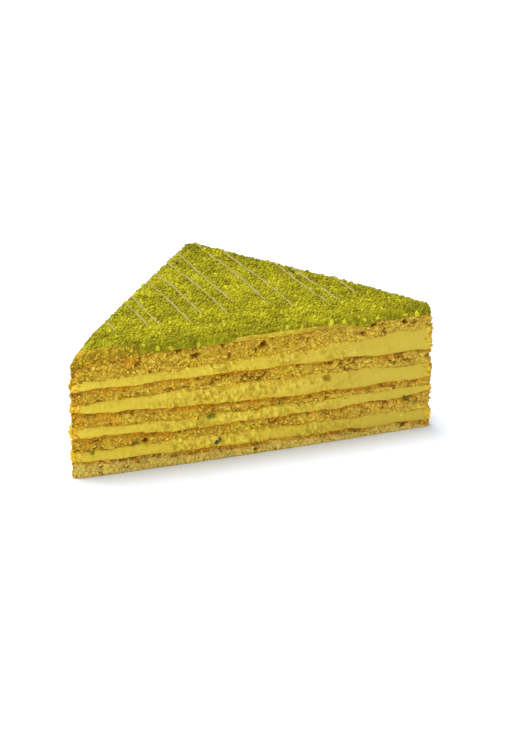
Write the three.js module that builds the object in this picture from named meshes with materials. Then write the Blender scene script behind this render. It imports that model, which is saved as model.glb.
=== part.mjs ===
// A triangular slice of honey cake: five crumbly biscuits with four fillings of cream between them, and a
// thin coat of cream under a crust of ground pistachio with thin lines of drizzle.
// Millimetres, +Z up. The slice rests flat on its lowest biscuit. The cut face that shows runs along +X and
// faces -Y, the sharp tip is at -X, and the origin is under the middle of the slice's box.

import * as THREE from 'three';

// ---- driving dimensions ----------------------------------------------------------

// plan of the slice, between its sharp corners
const frontLength = 122.6;            // the cut face that shows, from the tip to the right-hand corner
const leftLength = 119.8;             // the cut face behind it, from the tip to the back corner
const tipAngle = THREE.MathUtils.degToRad(52.8);
const cornerSetback = 3;              // where a corner's rounding starts, measured back along each side
const frontBulge = 1;                 // how far the middle of the cut face that shows swells outwards
const backBulge = 1.2;                // and that of the third side
const stationSpacing = 4.8;           // distance between the points along a side of the plan outline
const cornerSteps = 4;                // and their number round a corner

// the sides lean in: how far each lies inside its place on the floor at the top, at its first and last corner
const topInsets = { front: [0.3, 1.6], third: [0.6, 0.6], left: [0.7, 2.9] };
const topSetback = 2.4;               // rounding of the corners at the top
const taperShare = 0.15;              // share of that lean that comes evenly from the floor up
const shoulderHeight = 5;             // the rest comes in the last millimetres under the top
const layerGap = 0.3;                 // clearance between two layers
const fillingSwell = 0.35;            // how far the cream stands out between the biscuits at most
const leastSwell = 0.4;               // share of that swell where it is least
const cragDepth = 0.9;                // how far a crumb lies back from the biscuit's side at most
const cragHeight = 0.35;              // how far a crumb stands out of it at most
const cornerCalm = 0.45;              // share of that relief which is left at a corner
const biscuitRows = [0.3, 0.7];       // heights of the crumb rows, as shares of a biscuit's thickness
const fillingRows = [0.5];

// layers from the floor up, each with its thickness at the tip, halfway along and at the right-hand corner
const layers = [
  { name: 'biscuit_5', thickness: [5.2, 3.9, 2.4] },
  { name: 'cream_4', thickness: [3.2, 3.9, 3.9] },
  { name: 'biscuit_4', thickness: [4.7, 3.5, 5.6] },
  { name: 'cream_3', thickness: [3.0, 3.5, 2.6] },
  { name: 'biscuit_3', thickness: [5.2, 3.2, 2.6] },
  { name: 'cream_2', thickness: [2.4, 6.0, 4.3] },
  { name: 'biscuit_2', thickness: [4.3, 3.9, 4.8] },
  { name: 'cream_1', thickness: [2.6, 4.0, 7.8] },
  { name: 'biscuit_1', thickness: [7.9, 5.7, 4.6] },
  { name: 'top_cream', thickness: [1.0, 1.5, 0.9] },
  { name: 'topping', thickness: [1.1, 1.4, 1.3] },
];

// waves of the layers' faces: their height, then length along X and along Y, each layer's shift, and share
const waveHeight = 0.28;
const longWave = { x: 21, y: 107, shift: 1.9, share: 1 };
const shortWave = { x: 9, y: -38, shift: 2.7, share: 0.5 };
// the fourth biscuit's top humps near the tip and dips beside it
const crustHump = { layer: 2, x: 21, width: 9, rise: 0.55 };
const crustDip = { layer: 2, x: 33, width: 4.5, rise: -0.9 };

// the top of the first biscuit and what lies on it are calmer, and fall away towards the sharp tip
const firstTopLayer = 8;
const topWaveShare = 0.35;
const tipFall = 2.2;
const tipFallWidth = 9;

// pistachio crust
const lipRadius = 0.55;               // rounding of the crust's upper edge, inwards
const lipDrop = 0.6;                  // and downwards
const lipSteps = 3;
const lipRelief = 0.2;                // how far a crumb on that rounding lies out or in
const rimSetback = 0.7;               // rounding of the corners of the flat top inside it
const rimSpacing = 1;
const crumbSpacing = 1.75;            // distance between the crumbs of the top
const crumbRise = 0.42;               // how far a crumb stands out of the crust at most
const crumbDip = 0.28;                // and how deep the hollows between them are
const crumbJitter = 0.2;              // share of the spacing that a crumb is moved from its even place

// drizzle: every line runs straight in from the far side, at a distance from the tip, to where it fades out
const drizzleLines = [
  { x: 20, end: 12 },
  { x: 31, end: 14 },
  { x: 35, end: 12 },
  { x: 44.7, end: 11 },
  { x: 50.4, end: 18 },
  { x: 58.2, end: 16 },
  { x: 63.7, end: 25 },
  { x: 74.2, end: 22 },
  { x: 80.1, end: 14 },
  { x: 90.9, end: 12 },
  { x: 94.8, end: 12 },
  { x: 103, end: 20 },
];
const drizzleWidth = 1.5;
const drizzleRise = 0.5;              // how far a line stands out of the crust
const drizzleUnevenness = 0.12;
const drizzleSway = 0.3;
const drizzleSwayLength = 55;

const randomSeed = 20263;

// ---- small helpers ----------------------------------------------------------

function makeRandom(seed) {
  let state = seed;
  return () => {
    state = (state * 1664525 + 1013904223) % 4294967296;
    return state / 4294967296;
  };
}

const random = makeRandom(randomSeed);

function between(low, high) {
  return low + (high - low) * random();
}

function bell(distance, width) {
  return Math.exp(-((distance / width) ** 2));
}

// smooth curve through the values at the tip, halfway and at the right-hand corner
function alongSlice([tip, middle, right], x) {
  const share = x / frontLength;
  return tip * (1 - share) * (1 - 2 * share)
    + middle * 4 * share * (1 - share)
    + right * share * (2 * share - 1);
}

// ---- plan outline ----------------------------------------------------------

const tipCorner = new THREE.Vector2(0, 0);
const rightCorner = new THREE.Vector2(frontLength, 0);
const backCorner = new THREE.Vector2(Math.cos(tipAngle), Math.sin(tipAngle)).multiplyScalar(leftLength);

function towards(from, to, distance) {
  return to.clone().sub(from).setLength(distance).add(from);
}

function bulgePoint(from, to, bulge) {
  const side = to.clone().sub(from);
  const outward = new THREE.Vector2(side.y, -side.x).setLength(2 * bulge);
  return from.clone().add(to).multiplyScalar(0.5).add(outward);
}

const sides = [
  { from: tipCorner, to: rightCorner, bulge: frontBulge, insets: topInsets.front },
  { from: rightCorner, to: backCorner, bulge: backBulge, insets: topInsets.third },
  { from: backCorner, to: tipCorner, bulge: 0, insets: topInsets.left },
];

// where two lines meet, each given by two of its points
function meetingPoint([a, b], [c, d]) {
  const first = b.clone().sub(a);
  const second = d.clone().sub(c);
  const share = c.clone().sub(a).cross(second) / first.cross(second);
  return a.clone().addScaledVector(first, share);
}

// a side moved inwards by `lean` of its inset at the top, and by `extra` more
function movedSide({ from, to, insets }, lean, extra) {
  const along = to.clone().sub(from).normalize();
  const inward = new THREE.Vector2(-along.y, along.x);
  return [from, to].map((corner, end) => (
    corner.clone().addScaledVector(inward, lean * insets[end] + extra)));
}

// the plan outline with its sides moved in, and its corners rounded from `setback` on
function planOutline(lean, extra, setback) {
  const lines = sides.map((side) => movedSide(side, lean, extra));
  const corners = lines.map((line, index) => meetingPoint(lines[(index + 2) % 3], line));
  const outline = new THREE.Shape();
  corners.forEach((corner, index) => {
    const next = corners[(index + 1) % 3];
    const start = towards(corner, next, setback);
    const end = towards(next, corner, setback);
    const turned = towards(next, corners[(index + 2) % 3], setback);
    const middle = bulgePoint(corner, next, sides[index].bulge);
    if (index === 0) {
      outline.moveTo(start.x, start.y);
    }
    outline.quadraticCurveTo(middle.x, middle.y, end.x, end.y);
    outline.quadraticCurveTo(next.x, next.y, turned.x, turned.y);
  });
  return outline;
}

const sideSteps = sides.map(({ from, to }) => Math.round(from.distanceTo(to) / stationSpacing));

// points along the outline, in the same number at every lean; sides and corners take turns
function outlinePoints(lean, setback) {
  return planOutline(lean, 0, setback).curves.flatMap((curve, index) => {
    const isCorner = index % 2 === 1;
    const steps = isCorner ? cornerSteps : sideSteps[index / 2];
    const points = curve.getSpacedPoints(steps).slice(0, -1);
    return points.map(({ x, y }, place) => ({ x, y, atCorner: isCorner || place === 0 }));
  });
}

// directions that point out of a closed loop of points, one for each of them
function outwardsOf(loop) {
  return loop.map((point, index) => {
    const before = loop[(index + loop.length - 1) % loop.length];
    const after = loop[(index + 1) % loop.length];
    return new THREE.Vector2(after.y - before.y, before.x - after.x).normalize();
  });
}

const stations = outlinePoints(0, cornerSetback);
const topStations = outlinePoints(1, topSetback);
const stationCount = stations.length;
const outwardNormals = outwardsOf(stations);
const planCentre = tipCorner.clone().add(rightCorner).add(backCorner).divideScalar(3);

// ---- heights ----------------------------------------------------------

function wave(layer, x, y) {
  const height = layer < firstTopLayer ? waveHeight : waveHeight * topWaveShare;
  return [longWave, shortWave].reduce((rise, part) => (
    rise + height * part.share * Math.sin(2 * Math.PI * (x / part.x + y / part.y) + layer * part.shift)), 0);
}

function bumpsOn(layer, x) {
  return [crustHump, crustDip].reduce((rise, bump) => (
    bump.layer === layer ? rise + bump.rise * bell(x - bump.x, bump.width) : rise), 0);
}

// the upper layers fall away towards the tip
function fallOf(layer, x, y) {
  return layer < firstTopLayer ? 0 : tipFall * bell(Math.hypot(x, y), tipFallWidth);
}

// height of the face over layer number `layer`; layer -1 is the floor
function faceHeight(layer, x, y) {
  if (layer < 0) {
    return 0;
  }
  let height = wave(layer, x, y) + bumpsOn(layer, x) - fallOf(layer, x, y);
  for (let below = 0; below <= layer; below += 1) {
    height += alongSlice(layers[below].thickness, x);
  }
  return height;
}

const crustLayer = layers.length - 1;

function crustHeight(x, y) {
  return faceHeight(crustLayer, x, y);
}

const fullHeight = faceHeight(crustLayer, frontLength / 2, 0);

// how far the sides have leant in at a height, from 0 on the floor to 1 at the top
function leanAt(height) {
  const shoulder = Math.max(0, (height - fullHeight + shoulderHeight) / shoulderHeight);
  return taperShare * height / fullHeight + (1 - taperShare) * shoulder ** 2;
}

// ---- solids from rings ----------------------------------------------------------

// one ring round the slice: `heightAt` gives its height, `standOut` how far it stands out of the plain side,
// and `lift` then raises it straight up. Its last point is the middle, where a cap's triangles meet.
function ringOf(heightAt, standOut, lift = 0) {
  const ring = stations.map((station, index) => {
    const height = heightAt(station.x, station.y);
    const lean = leanAt(height);
    const out = standOut(station);
    const { x, y } = outwardNormals[index];
    return new THREE.Vector3(
      THREE.MathUtils.lerp(station.x, topStations[index].x, lean) + x * out,
      THREE.MathUtils.lerp(station.y, topStations[index].y, lean) + y * out,
      height + lift,
    );
  });
  const { x, y } = planCentre;
  ring.push(new THREE.Vector3(x, y, heightAt(x, y) + lift));
  return ring;
}

function solidFromRings(rings) {
  const ringLength = stationCount + 1;
  const positions = rings.flat().flatMap((point) => point.toArray());
  const faces = [];
  const nextColumn = (column) => (column + 1) % stationCount;
  const topStart = (rings.length - 1) * ringLength;
  for (let column = 0; column < stationCount; column += 1) {
    const next = nextColumn(column);
    for (let low = 0; low < topStart; low += ringLength) {
      const high = low + ringLength;
      faces.push(low + column, low + next, high + next, low + column, high + next, high + column);
    }
    faces.push(stationCount, next, column);
    faces.push(topStart + stationCount, topStart + column, topStart + next);
  }
  const geometry = new THREE.BufferGeometry();
  geometry.setAttribute('position', new THREE.Float32BufferAttribute(positions, 3));
  geometry.setIndex(faces);
  geometry.computeVertexNormals();
  return geometry;
}

function flush() {
  return 0;
}

// the rings that bound a layer keep half the gap to its neighbours; the lowest one lies on the floor
function undersideRing(layer) {
  return ringOf((x, y) => faceHeight(layer - 1, x, y), flush, layer === 0 ? 0 : layerGap / 2);
}

function upperRing(layer) {
  return ringOf((x, y) => faceHeight(layer, x, y), flush, -layerGap / 2);
}

// a ring between them, at a share of the layer's thickness
function rowRing(layer, share, standOut) {
  const heightAt = (x, y) => (
    THREE.MathUtils.lerp(faceHeight(layer - 1, x, y), faceHeight(layer, x, y), share));
  return ringOf(heightAt, standOut);
}

// ---- layers ----------------------------------------------------------

function biscuitGeometry(layer) {
  const crag = ({ atCorner }) => between(-cragDepth, cragHeight) * (atCorner ? cornerCalm : 1);
  const rows = biscuitRows.map((share) => rowRing(layer, share, crag));
  return solidFromRings([undersideRing(layer), ...rows, upperRing(layer)]);
}

function fillingGeometry(layer) {
  const swell = () => fillingSwell * between(leastSwell, 1);
  const rows = fillingRows.map((share) => rowRing(layer, share, swell));
  return solidFromRings([undersideRing(layer), ...rows, upperRing(layer)]);
}

function topCreamGeometry(layer) {
  return solidFromRings([undersideRing(layer), upperRing(layer)]);
}

// ---- pistachio crust ----------------------------------------------------------

// The crust's top is drawn as columns of points that run from the front edge straight to the far side. Every
// point is a crumb or a hollow between crumbs, and three columns close together make a line of drizzle.

const rimSteps = Math.round(3 * frontLength / rimSpacing);
const rim = planOutline(1, lipRadius, rimSetback).getSpacedPoints(rimSteps);

// how the rim cuts a column: where it starts and where it ends
function rimCrossings(x) {
  const cuts = rim.flatMap((from, index) => {
    const to = rim[(index + 1) % rim.length];
    const isCut = (from.x <= x) !== (to.x <= x);
    return isCut ? [THREE.MathUtils.mapLinear(x, from.x, to.x, from.y, to.y)] : [];
  });
  return [Math.min(...cuts), Math.max(...cuts)];
}

function crumbHeight() {
  return between(-crumbDip, crumbRise);
}

// a column of loose crumbs: each point is moved a little from its even place
function crumbColumn(x) {
  const moved = () => between(-crumbJitter, crumbJitter) * crumbSpacing;
  return { x, place: (y) => new THREE.Vector3(x + moved(), y + moved(), crumbHeight()) };
}

// the back of a drizzle line (side 0) or its foot on either side
function drizzleColumn({ x, end }, side, phase) {
  const place = (y) => {
    const sway = drizzleSway * Math.sin(phase + 2 * Math.PI * y / drizzleSwayLength);
    const ridge = side === 0 ? drizzleRise + between(-drizzleUnevenness, drizzleUnevenness) : 0;
    return new THREE.Vector3(x + side * drizzleWidth / 2 + sway, y, y > end ? ridge : crumbHeight());
  };
  return { x: x + side * drizzleWidth / 2, place };
}

function drizzleColumns() {
  return drizzleLines.flatMap((line) => {
    const phase = between(0, 2 * Math.PI);
    return [-1, 0, 1].map((side) => drizzleColumn(line, side, phase));
  });
}

// columns of crumbs that fill the room between two others evenly
function columnsBetween(low, high) {
  const steps = Math.max(1, Math.round((high - low) / crumbSpacing));
  return Array.from({ length: steps - 1 }, (_, step) => (
    crumbColumn(THREE.MathUtils.lerp(low, high, (step + 1) / steps))));
}

function allColumns(leftmost, rightmost) {
  const lines = drizzleColumns();
  const stops = [leftmost, ...lines.map(({ x }) => x), rightmost];
  return stops.slice(1).flatMap((stop, index) => (
    [...columnsBetween(stops[index], stop), ...lines.slice(index, index + 1)]));
}

// the points of one column, of which the first and the last lie on the rim
function columnPoints({ x, place }) {
  const [start, end] = rimCrossings(x);
  const steps = Math.max(1, Math.round((end - start) / crumbSpacing));
  return Array.from({ length: steps + 1 }, (_, step) => {
    const y = THREE.MathUtils.lerp(start, end, step / steps);
    const isOnRim = step === 0 || step === steps;
    const point = isOnRim ? new THREE.Vector3(x, y, crumbHeight() / 2) : place(y);
    return point.setZ(crustHeight(point.x, point.y) + point.z);
  });
}

function endPoint({ x, y }) {
  return [new THREE.Vector3(x, y, crustHeight(x, y))];
}

function crustColumns() {
  const byX = [...rim].sort((a, b) => a.x - b.x);
  const leftmost = byX[0];
  const rightmost = byX[byX.length - 1];
  const inner = allColumns(leftmost.x, rightmost.x).map(columnPoints);
  return [endPoint(leftmost), ...inner, endPoint(rightmost)];
}

// triangles between two columns side by side, given as lists of point numbers
function stripFaces(left, right, points) {
  const faces = [];
  let low = 0;
  let high = 0;
  while (low < left.length - 1 || high < right.length - 1) {
    const leftNext = points[left[low + 1]];
    const rightNext = points[right[high + 1]];
    const leftDiagonal = leftNext ? leftNext.distanceTo(points[right[high]]) : Infinity;
    const rightDiagonal = rightNext ? rightNext.distanceTo(points[left[low]]) : Infinity;
    if (leftDiagonal < rightDiagonal) {
      faces.push(left[low], right[high], left[low + 1]);
      low += 1;
    } else {
      faces.push(left[low], right[high], right[high + 1]);
      high += 1;
    }
  }
  return faces;
}

// triangles of the wall between two loops of point numbers, the lower one and the upper one
function wallFaces(lower, upper) {
  return lower.flatMap((here, index) => {
    const next = (index + 1) % lower.length;
    return [here, lower[next], upper[next], here, upper[next], upper[index]];
  });
}

// the loops under the rim, from its rounding down to the crust's underside
function lipLoops(rimPoints) {
  const outwards = outwardsOf(rimPoints);
  const pushed = ({ x, y }, index, out) => (
    new THREE.Vector2(x, y).addScaledVector(outwards[index], out));
  const loops = [];
  for (let step = lipSteps - 1; step >= 0; step -= 1) {
    const angle = step / lipSteps * Math.PI / 2;
    const relief = step === 0 ? 0 : lipRelief;
    loops.push(rimPoints.map((point, index) => {
      const out = lipRadius * Math.cos(angle) + between(-relief, relief);
      const plan = pushed(point, index, out);
      return new THREE.Vector3(plan.x, plan.y, crustHeight(plan.x, plan.y) - lipDrop * (1 - Math.sin(angle)));
    }));
  }
  loops.push(rimPoints.map((point, index) => {
    const { x, y } = pushed(point, index, lipRadius);
    return new THREE.Vector3(x, y, faceHeight(crustLayer - 1, x, y) + layerGap / 2);
  }));
  return loops;
}

function toppingGeometry() {
  const columns = crustColumns();
  const points = columns.flat();
  let count = 0;
  const columnNumbers = columns.map((column) => column.map(() => {
    count += 1;
    return count - 1;
  }));
  const faces = columnNumbers.slice(1).flatMap((right, index) => (
    stripFaces(columnNumbers[index], right, points)));
  const fronts = columnNumbers.map((column) => column[0]);
  const backs = columnNumbers.slice(1, -1).map((column) => column[column.length - 1]).reverse();
  let upper = [...fronts, ...backs];
  for (const loop of lipLoops(upper.map((number) => points[number]))) {
    const lower = loop.map((point, index) => points.length + index);
    points.push(...loop);
    faces.push(...wallFaces(lower, upper));
    upper = lower;
  }
  const { x, y } = planCentre;
  const middle = points.length;
  points.push(new THREE.Vector3(x, y, faceHeight(crustLayer - 1, x, y) + layerGap / 2));
  upper.forEach((here, index) => {
    faces.push(middle, upper[(index + 1) % upper.length], here);
  });
  const geometry = new THREE.BufferGeometry().setFromPoints(points);
  geometry.setIndex(faces);
  geometry.computeVertexNormals();
  return geometry;
}

// ---- materials and assembly ----------------------------------------------------------

function biscuitMaterial() {
  return new THREE.MeshStandardMaterial({ color: 0xb98d24, roughness: 0.9, metalness: 0 });
}

function creamMaterial() {
  return new THREE.MeshStandardMaterial({ color: 0xcfb244, roughness: 0.5, metalness: 0 });
}

function pistachioMaterial() {
  return new THREE.MeshStandardMaterial({ color: 0xaba11e, roughness: 0.8, metalness: 0 });
}

function layerMesh({ name }, layer) {
  if (name === 'topping') {
    return new THREE.Mesh(toppingGeometry(), pistachioMaterial());
  }
  if (name === 'top_cream') {
    return new THREE.Mesh(topCreamGeometry(layer), creamMaterial());
  }
  if (name.startsWith('cream')) {
    return new THREE.Mesh(fillingGeometry(layer), creamMaterial());
  }
  return new THREE.Mesh(biscuitGeometry(layer), biscuitMaterial());
}

function honeyCakeSlice() {
  const slice = new THREE.Group();
  layers.forEach((layer, index) => {
    const mesh = layerMesh(layer, index);
    mesh.name = layer.name;
    slice.add(mesh);
  });
  const box = new THREE.Box3().setFromObject(slice);
  const middle = box.getCenter(new THREE.Vector3());
  slice.position.set(-middle.x, -middle.y, -box.min.z);
  return slice;
}

const group = honeyCakeSlice();

export default group;
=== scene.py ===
"""Looks of the honey cake slice: five crumbly biscuits, four creams between them, and a crust of ground
pistachio with thin drizzle lines. All shapes are worked out in millimetres, and make_object turns them into
metres."""
import math

import bpy
import numpy as np
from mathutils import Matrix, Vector, geometry


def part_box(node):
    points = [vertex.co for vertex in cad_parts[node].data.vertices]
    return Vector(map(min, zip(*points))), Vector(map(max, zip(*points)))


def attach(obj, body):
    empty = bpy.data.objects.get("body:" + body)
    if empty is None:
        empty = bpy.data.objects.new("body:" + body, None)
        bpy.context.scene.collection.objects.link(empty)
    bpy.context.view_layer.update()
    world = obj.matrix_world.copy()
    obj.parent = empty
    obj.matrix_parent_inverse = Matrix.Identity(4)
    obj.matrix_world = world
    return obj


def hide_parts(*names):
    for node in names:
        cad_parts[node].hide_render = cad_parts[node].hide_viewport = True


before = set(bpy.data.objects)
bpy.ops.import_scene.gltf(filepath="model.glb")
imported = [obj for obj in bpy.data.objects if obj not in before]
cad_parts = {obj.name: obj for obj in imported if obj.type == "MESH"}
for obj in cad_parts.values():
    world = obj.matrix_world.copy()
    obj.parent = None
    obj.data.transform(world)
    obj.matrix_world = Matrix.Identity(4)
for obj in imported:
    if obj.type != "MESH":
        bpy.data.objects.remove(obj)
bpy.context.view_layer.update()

MM = 0.001
BODY = "root"
LAYERS = ["biscuit_5", "cream_4", "biscuit_4", "cream_3", "biscuit_3", "cream_2", "biscuit_2", "cream_1",
          "biscuit_1", "top_cream", "topping"]
TOP_COAT = LAYERS.index("top_cream")
CRUST = LAYERS.index("topping")

SHARP_TIP = np.array([-61.44, -46.59])   # where the two cut faces at the tip would meet
TAPER_SHARE = 0.15                       # the sides lean in: this share of it evenly from the floor up,
SHOULDER_HEIGHT = 5.0                    # and the rest in the last millimetres under the top
CRUMB_RISE = 0.7                         # how far the crust's highest crumbs stand out of it
TIP_FALL = (2.2, 9.0)                    # the top falls away towards the sharp tip: how far, and over what,
TIP_WEAR = (1.5, 4.2)                    # and its last millimetres are worn lower still
TIP_SET_BACK = 0.9                       # the crust's edge is worn back this far near the tip

# ---- noise ----

# large odd numbers that scatter the bits of a whole number
SEED_FACTOR, SEED_OFFSET = 0x9E3779B1, 0x7F4A7C15
KEY_FACTORS = (0x85EBCA6B, 0xC2B2AE35)
MIXING_STEPS = ((15, 0x2C1B3C6D), (12, 0x297A2D39))   # bits to shift by, and a factor
LAST_SHIFT = 15
BITS_32, BITS_24 = 0xFFFFFFFF, 0xFFFFFF

OCTAVE_FADE = 0.55      # each finer octave of fractal noise has this share of the one before it
CELL_JITTER = 0.9       # how far cell centres stray from an even grid


def hash01(*whole, seed=0):
    """One random number from 0 to 1 for each whole number, or for each pair of them."""
    mixed = np.full(np.broadcast(*whole).shape, seed * SEED_FACTOR + SEED_OFFSET, np.uint64)
    for values, key_factor in zip(whole, KEY_FACTORS):
        mixed = mixed ^ (np.asarray(values).astype(np.int64).astype(np.uint64) * np.uint64(key_factor))
        for shift, factor in MIXING_STEPS:
            mixed = (mixed ^ (mixed >> np.uint64(shift))) * np.uint64(factor) & np.uint64(BITS_32)
    mixed = mixed ^ (mixed >> np.uint64(LAST_SHIFT))
    return (mixed & np.uint64(BITS_24)).astype(float) / BITS_24


def clamp(value):
    return np.clip(value, 0, 1)


def smooth_step(t):
    return t * t * (3 - 2 * t)


def fade(value, low, high):
    """0 up to `low`, 1 from `high` on, and smooth between them."""
    return smooth_step(clamp((value - low) / (high - low)))


def dip(away, depth, width):
    """A smooth dip, at distances from its middle."""
    return depth * np.exp(-(away / width) ** 2)


def cell_grid(u, v, cell_u, cell_v, wrap):
    """Points in a grid of cells and the numbers of their cells, and a function for a cell's number along u
    that repeats after the length `wrap`."""
    columns = max(1, round(wrap / cell_u)) if wrap else 0
    pu, pv = u * columns / wrap if wrap else u / cell_u, v / cell_v
    return pu, pv, np.floor(pu), np.floor(pv), lambda cu: np.mod(cu, columns) if columns else cu


def value_noise(u, v, cell_u, cell_v, seed, wrap=0.0):
    """Smooth noise from -1 to 1; with `wrap` it repeats after that length along u."""
    pu, pv, iu, iv, wrapped = cell_grid(u, v, cell_u, cell_v, wrap)
    fu, fv = smooth_step(pu - iu), smooth_step(pv - iv)

    def corner(du, dv):
        return hash01(wrapped(iu + du), iv + dv, seed=seed)
    low = corner(0, 0) * (1 - fu) + corner(1, 0) * fu
    high = corner(0, 1) * (1 - fu) + corner(1, 1) * fu
    return (low * (1 - fv) + high * fv) * 2 - 1


def fractal(u, v, cell_u, cell_v, seed, wrap=0.0, octaves=3):
    """Noise from -1 to 1 summed over octaves, each with cells half as large."""
    total, weight, norm = 0.0, 1.0, 0.0
    for k in range(octaves):
        total = total + weight * value_noise(u, v, cell_u / 2 ** k, cell_v / 2 ** k, seed + 17 * k, wrap)
        norm += weight
        weight *= OCTAVE_FADE
    return total / norm


def cells(u, v, size, seed, wrap=0.0):
    """Scattered cells: distances to the nearest and second centre in cell sizes, and two random numbers of
    the nearest one."""
    pu, pv, iu, iv, wrapped = cell_grid(u, v, size, size, wrap)
    first = second = np.full(np.shape(pu), np.inf)
    tint = level = np.zeros(np.shape(pu))
    for du in (-1, 0, 1):
        for dv in (-1, 0, 1):
            cu, cv = iu + du, iv + dv
            key = wrapped(cu)
            ou = cu + 0.5 + CELL_JITTER * (hash01(key, cv, seed=seed) - 0.5)
            ov = cv + 0.5 + CELL_JITTER * (hash01(key, cv, seed=seed + 1) - 0.5)
            away = np.hypot(pu - ou, pv - ov)
            nearer = away < first
            second = np.where(nearer, first, np.minimum(second, away))
            first = np.where(nearer, away, first)
            tint = np.where(nearer, hash01(key, cv, seed=seed + 2), tint)
            level = np.where(nearer, hash01(key, cv, seed=seed + 3), level)
    return first, second, tint, level


# ---- plan outline, read from the frame ----


def node_points(name):
    """The different points of a CAD node's mesh, in millimetres."""
    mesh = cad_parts[name].data
    flat = np.zeros(len(mesh.vertices) * 3, np.float32)
    mesh.vertices.foreach_get("co", flat)
    return np.unique(np.round(flat.reshape(-1, 3).astype(float) / MM, 3), axis=0)


class Outline:
    """A convex plan outline round some points. A place on it is its distance along it from the tip, by way of
    the front face, the right-hand corner, the third side and the back corner."""

    def __init__(self, points):
        hull = points[geometry.convex_hull_2d([Vector(point) for point in points])]
        middle = hull.mean(0)
        hull = hull[np.argsort(np.arctan2(hull[:, 1] - middle[1], hull[:, 0] - middle[0]))]
        hull = np.roll(hull, -hull[:, 0].argmin(), 0)
        self.ring = np.vstack([hull, hull[:1]])
        self.places = np.concatenate([[0], np.cumsum(np.hypot(*np.diff(self.ring, axis=0).T))])
        self.length = float(self.places[-1])
        right, back = hull[:, 0].argmax(), hull[:, 1].argmax()
        self.corners = np.array([0, self.places[right], self.places[back], self.length])

    def at(self, place):
        return np.stack([np.interp(place, self.places, self.ring[:, k]) for k in range(2)], -1)


LOWEST_POINTS = node_points("biscuit_5")
BASE = Outline(LOWEST_POINTS[LOWEST_POINTS[:, 2] < 0.02][:, :2])
TOP = Outline(node_points("topping")[:, :2])
ROUND = BASE.length                      # the way round the slice's floor outline
TIP_PLACE, RIGHT_PLACE, BACK_PLACE = BASE.corners[:3]
MIDDLE = BASE.ring.mean(0)
TOP_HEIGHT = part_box("topping")[1][2] / MM
FULL_HEIGHT = TOP_HEIGHT - CRUMB_RISE


def lean_at(z):
    """How far the sides have leant in from the floor's outline (0) to the top's (1)."""
    shoulder = np.clip((z - FULL_HEIGHT + SHOULDER_HEIGHT) / SHOULDER_HEIGHT, 0, 1.05)
    return TAPER_SHARE * z / FULL_HEIGHT + (1 - TAPER_SHARE) * shoulder ** 2


COLUMN_SPACING = 0.3    # the columns of points round the sides are about this far apart
HALVINGS = 5            # and the crust's rings can halve their number so often
COLUMNS = 2 ** HALVINGS * round(ROUND / COLUMN_SPACING / 2 ** HALVINGS)
STEP = ROUND / COLUMNS
PLACES = np.arange(COLUMNS) * STEP


def front_place(x):
    """The place on the front face at a distance x from the sharp tip."""
    return x + SHARP_TIP[0] - BASE.ring[0, 0]


def from_sharp_tip(x, y):
    """How far plan points lie from the sharp tip."""
    return np.hypot(x - SHARP_TIP[0], y - SHARP_TIP[1])


def noise_round(place, cell, seed):
    """Smooth noise from -1 to 1 that changes only round the slice."""
    return value_noise(place, 0 * place, cell, 1, seed, ROUND)


def fractal_round(place, cell, seed, octaves):
    return fractal(place, 0 * place, cell, 1, seed, ROUND, octaves)


def blurred(values, sigma):
    """Values round the slice, smoothed over `sigma` millimetres."""
    reach = int(4 * sigma / STEP) + 1
    offsets = np.arange(-reach, reach + 1)
    kernel = np.exp(-0.5 * (offsets * STEP / sigma) ** 2)
    kernel /= kernel.sum()
    padded = np.concatenate([values[-reach:], values, values[:reach]])
    if values.ndim == 1:
        return np.convolve(padded, kernel, "valid")
    return np.stack([np.convolve(padded[:, k], kernel, "valid") for k in range(values.shape[1])], 1)


def along(values, place):
    """Values kept for PLACES, read at any places."""
    at = np.mod(place, ROUND) / STEP
    low = np.floor(at).astype(int)
    share = at - low
    if values.ndim == 2:
        share = share[..., None]
    count = len(values)
    return values[low % count] * (1 - share) + values[(low + 1) % count] * share


def outwards(plan):
    """Level directions out of a plan outline, at each of its points."""
    ahead = np.roll(plan, -1, 0) - np.roll(plan, 1, 0)
    out = np.stack([ahead[:, 1], -ahead[:, 0]], 1)
    out = blurred(out / np.hypot(*out.T)[:, None], 0.6)
    return out / np.hypot(*out.T)[:, None]


BASE_PLAN = blurred(BASE.at(PLACES), 0.4)
TOP_PLAN = blurred(TOP.at(np.interp(PLACES, BASE.corners, TOP.corners)), 0.4)
OUT, TOP_OUT = outwards(BASE_PLAN), outwards(TOP_PLAN)


def side_points(place, z, stand_out):
    """Points of the slice's side at places round it and heights z, `stand_out` outside its plain face."""
    lean = lean_at(z)[..., None]
    plan = along(BASE_PLAN, place) * (1 - lean) + along(TOP_PLAN, place) * lean
    plan = plan + along(OUT, place) * np.asarray(stand_out)[..., None]
    return np.concatenate([plan, np.asarray(z)[..., None]], -1)


def place_gap(place, here):
    """Distance round the slice between places, the shorter way."""
    return np.abs((place - here + ROUND / 2) % ROUND - ROUND / 2)


def corner_closeness(place, reach, corners=(TIP_PLACE, RIGHT_PLACE, BACK_PLACE)):
    """1 at a corner of the slice, 0 further from it than `reach`."""
    nearest = np.minimum.reduce([place_gap(place, here) for here in corners])
    return 1 - fade(nearest, 0.2 * reach, reach)


# ---- faces between the layers, read from the frame ----

RIM_DEPTH = 4           # a node's points this near the outline are its rim
SAMPLE_SPACING = 2.0    # the rim is read at places this far apart,
SAMPLE_REACH = 2.6      # from the points within this distance,
SAMPLE_POINTS = 5       # or from at least this many


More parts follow.
